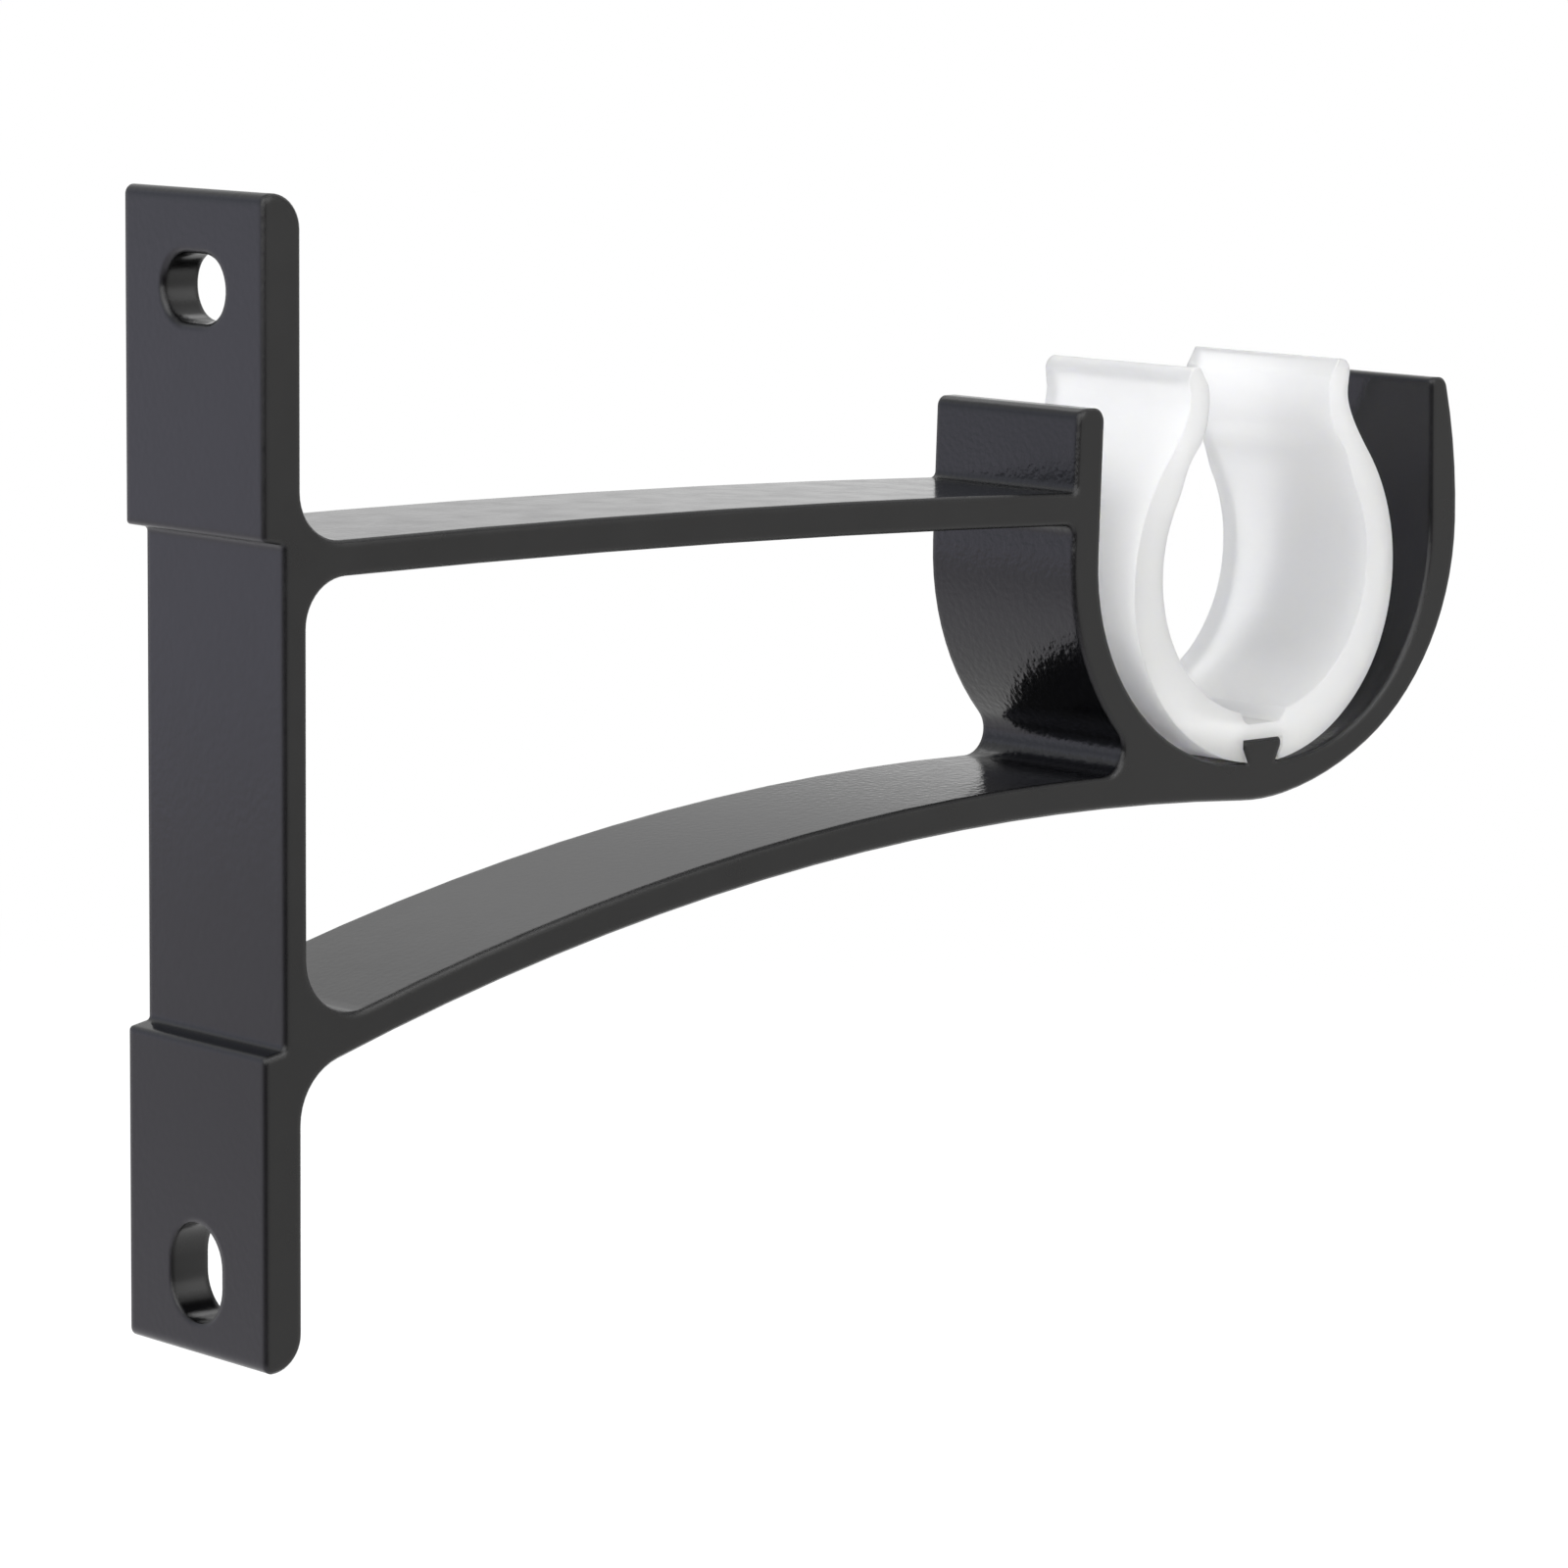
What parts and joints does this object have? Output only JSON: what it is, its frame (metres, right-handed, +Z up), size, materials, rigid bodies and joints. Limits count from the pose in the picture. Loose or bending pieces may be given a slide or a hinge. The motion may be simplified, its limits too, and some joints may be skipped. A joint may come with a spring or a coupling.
{
  "type": "curtain pole bracket",
  "caption": "Extruded metal wall bracket with a slotted back plate and arched arms carrying a U-shaped cup, in which a snap-in plastic clip holds a round pole.",
  "frame": {"origin": "on the wall plane, at the middle of the wall plate's back: half way up the plate and half way along its width", "axes": "+X away from the wall towards the pole, +Y along the pole, +Z up"},
  "size_m": [0.1458, 0.019, 0.0982],
  "materials": {
    "black_metal": "black paint on extruded metal, satin cut faces and glossier extruded faces with a light orange-peel texture",
    "milky_plastic": "milky translucent, soft satin gloss"
  },
  "bodies": {
    "root": {"bracket": "black_metal", "pole_clip": "milky_plastic"}
  },
  "joints": []
}
